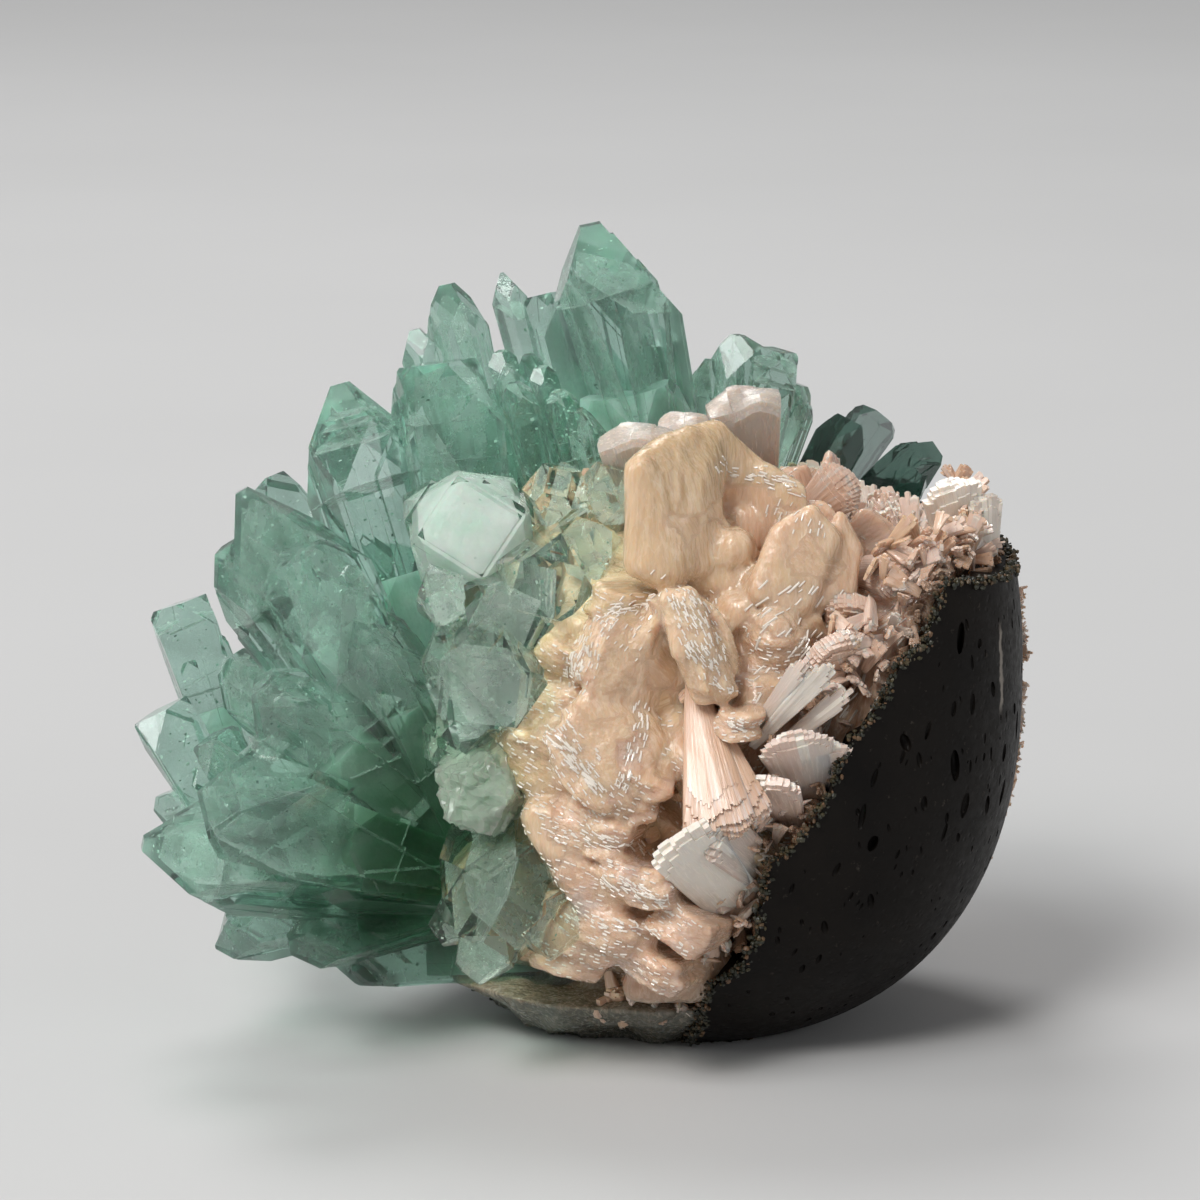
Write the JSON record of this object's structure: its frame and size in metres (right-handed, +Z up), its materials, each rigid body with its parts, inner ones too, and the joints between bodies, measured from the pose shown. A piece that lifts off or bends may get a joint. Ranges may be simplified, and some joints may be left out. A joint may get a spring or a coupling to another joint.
{
  "type": "apophyllite cluster",
  "caption": "Loose mineral specimen: a fan of steep green and clear apophyllite crystals with peach stilbite sheaves on rounded dark basalt, resting on a ground flat.",
  "frame": {"origin": "Bottom centre of the specimen's box, on the surface that it stands on.", "axes": "+X runs to the right along the broad side, from the crystal fan to the basalt. +Y points to the back. +Z is up."},
  "size_m": [0.1018, 0.0734, 0.09],
  "materials": {
    "basalt": "ground, satin",
    "green_apophyllite": "vitreous, partly milky",
    "clear_apophyllite": "vitreous, clear",
    "pale_green_apophyllite": "vitreous",
    "milky_apophyllite": "milky, translucent",
    "stilbite": "waxy to pearly",
    "stilbite_crust": "pearly"
  },
  "bodies": {
    "root": {"basalt_matrix": "basalt", "green_spray": "green_apophyllite", "clear_band": "clear_apophyllite", "milky_crystal": "milky_apophyllite", "dark_clear_crystals": "clear_apophyllite", "upper_right_crystals": "pale_green_apophyllite", "back_right_crystals": "green_apophyllite", "stilbite_back_crust": "stilbite_crust", "stilbite_mass": "stilbite"}
  },
  "joints": []
}
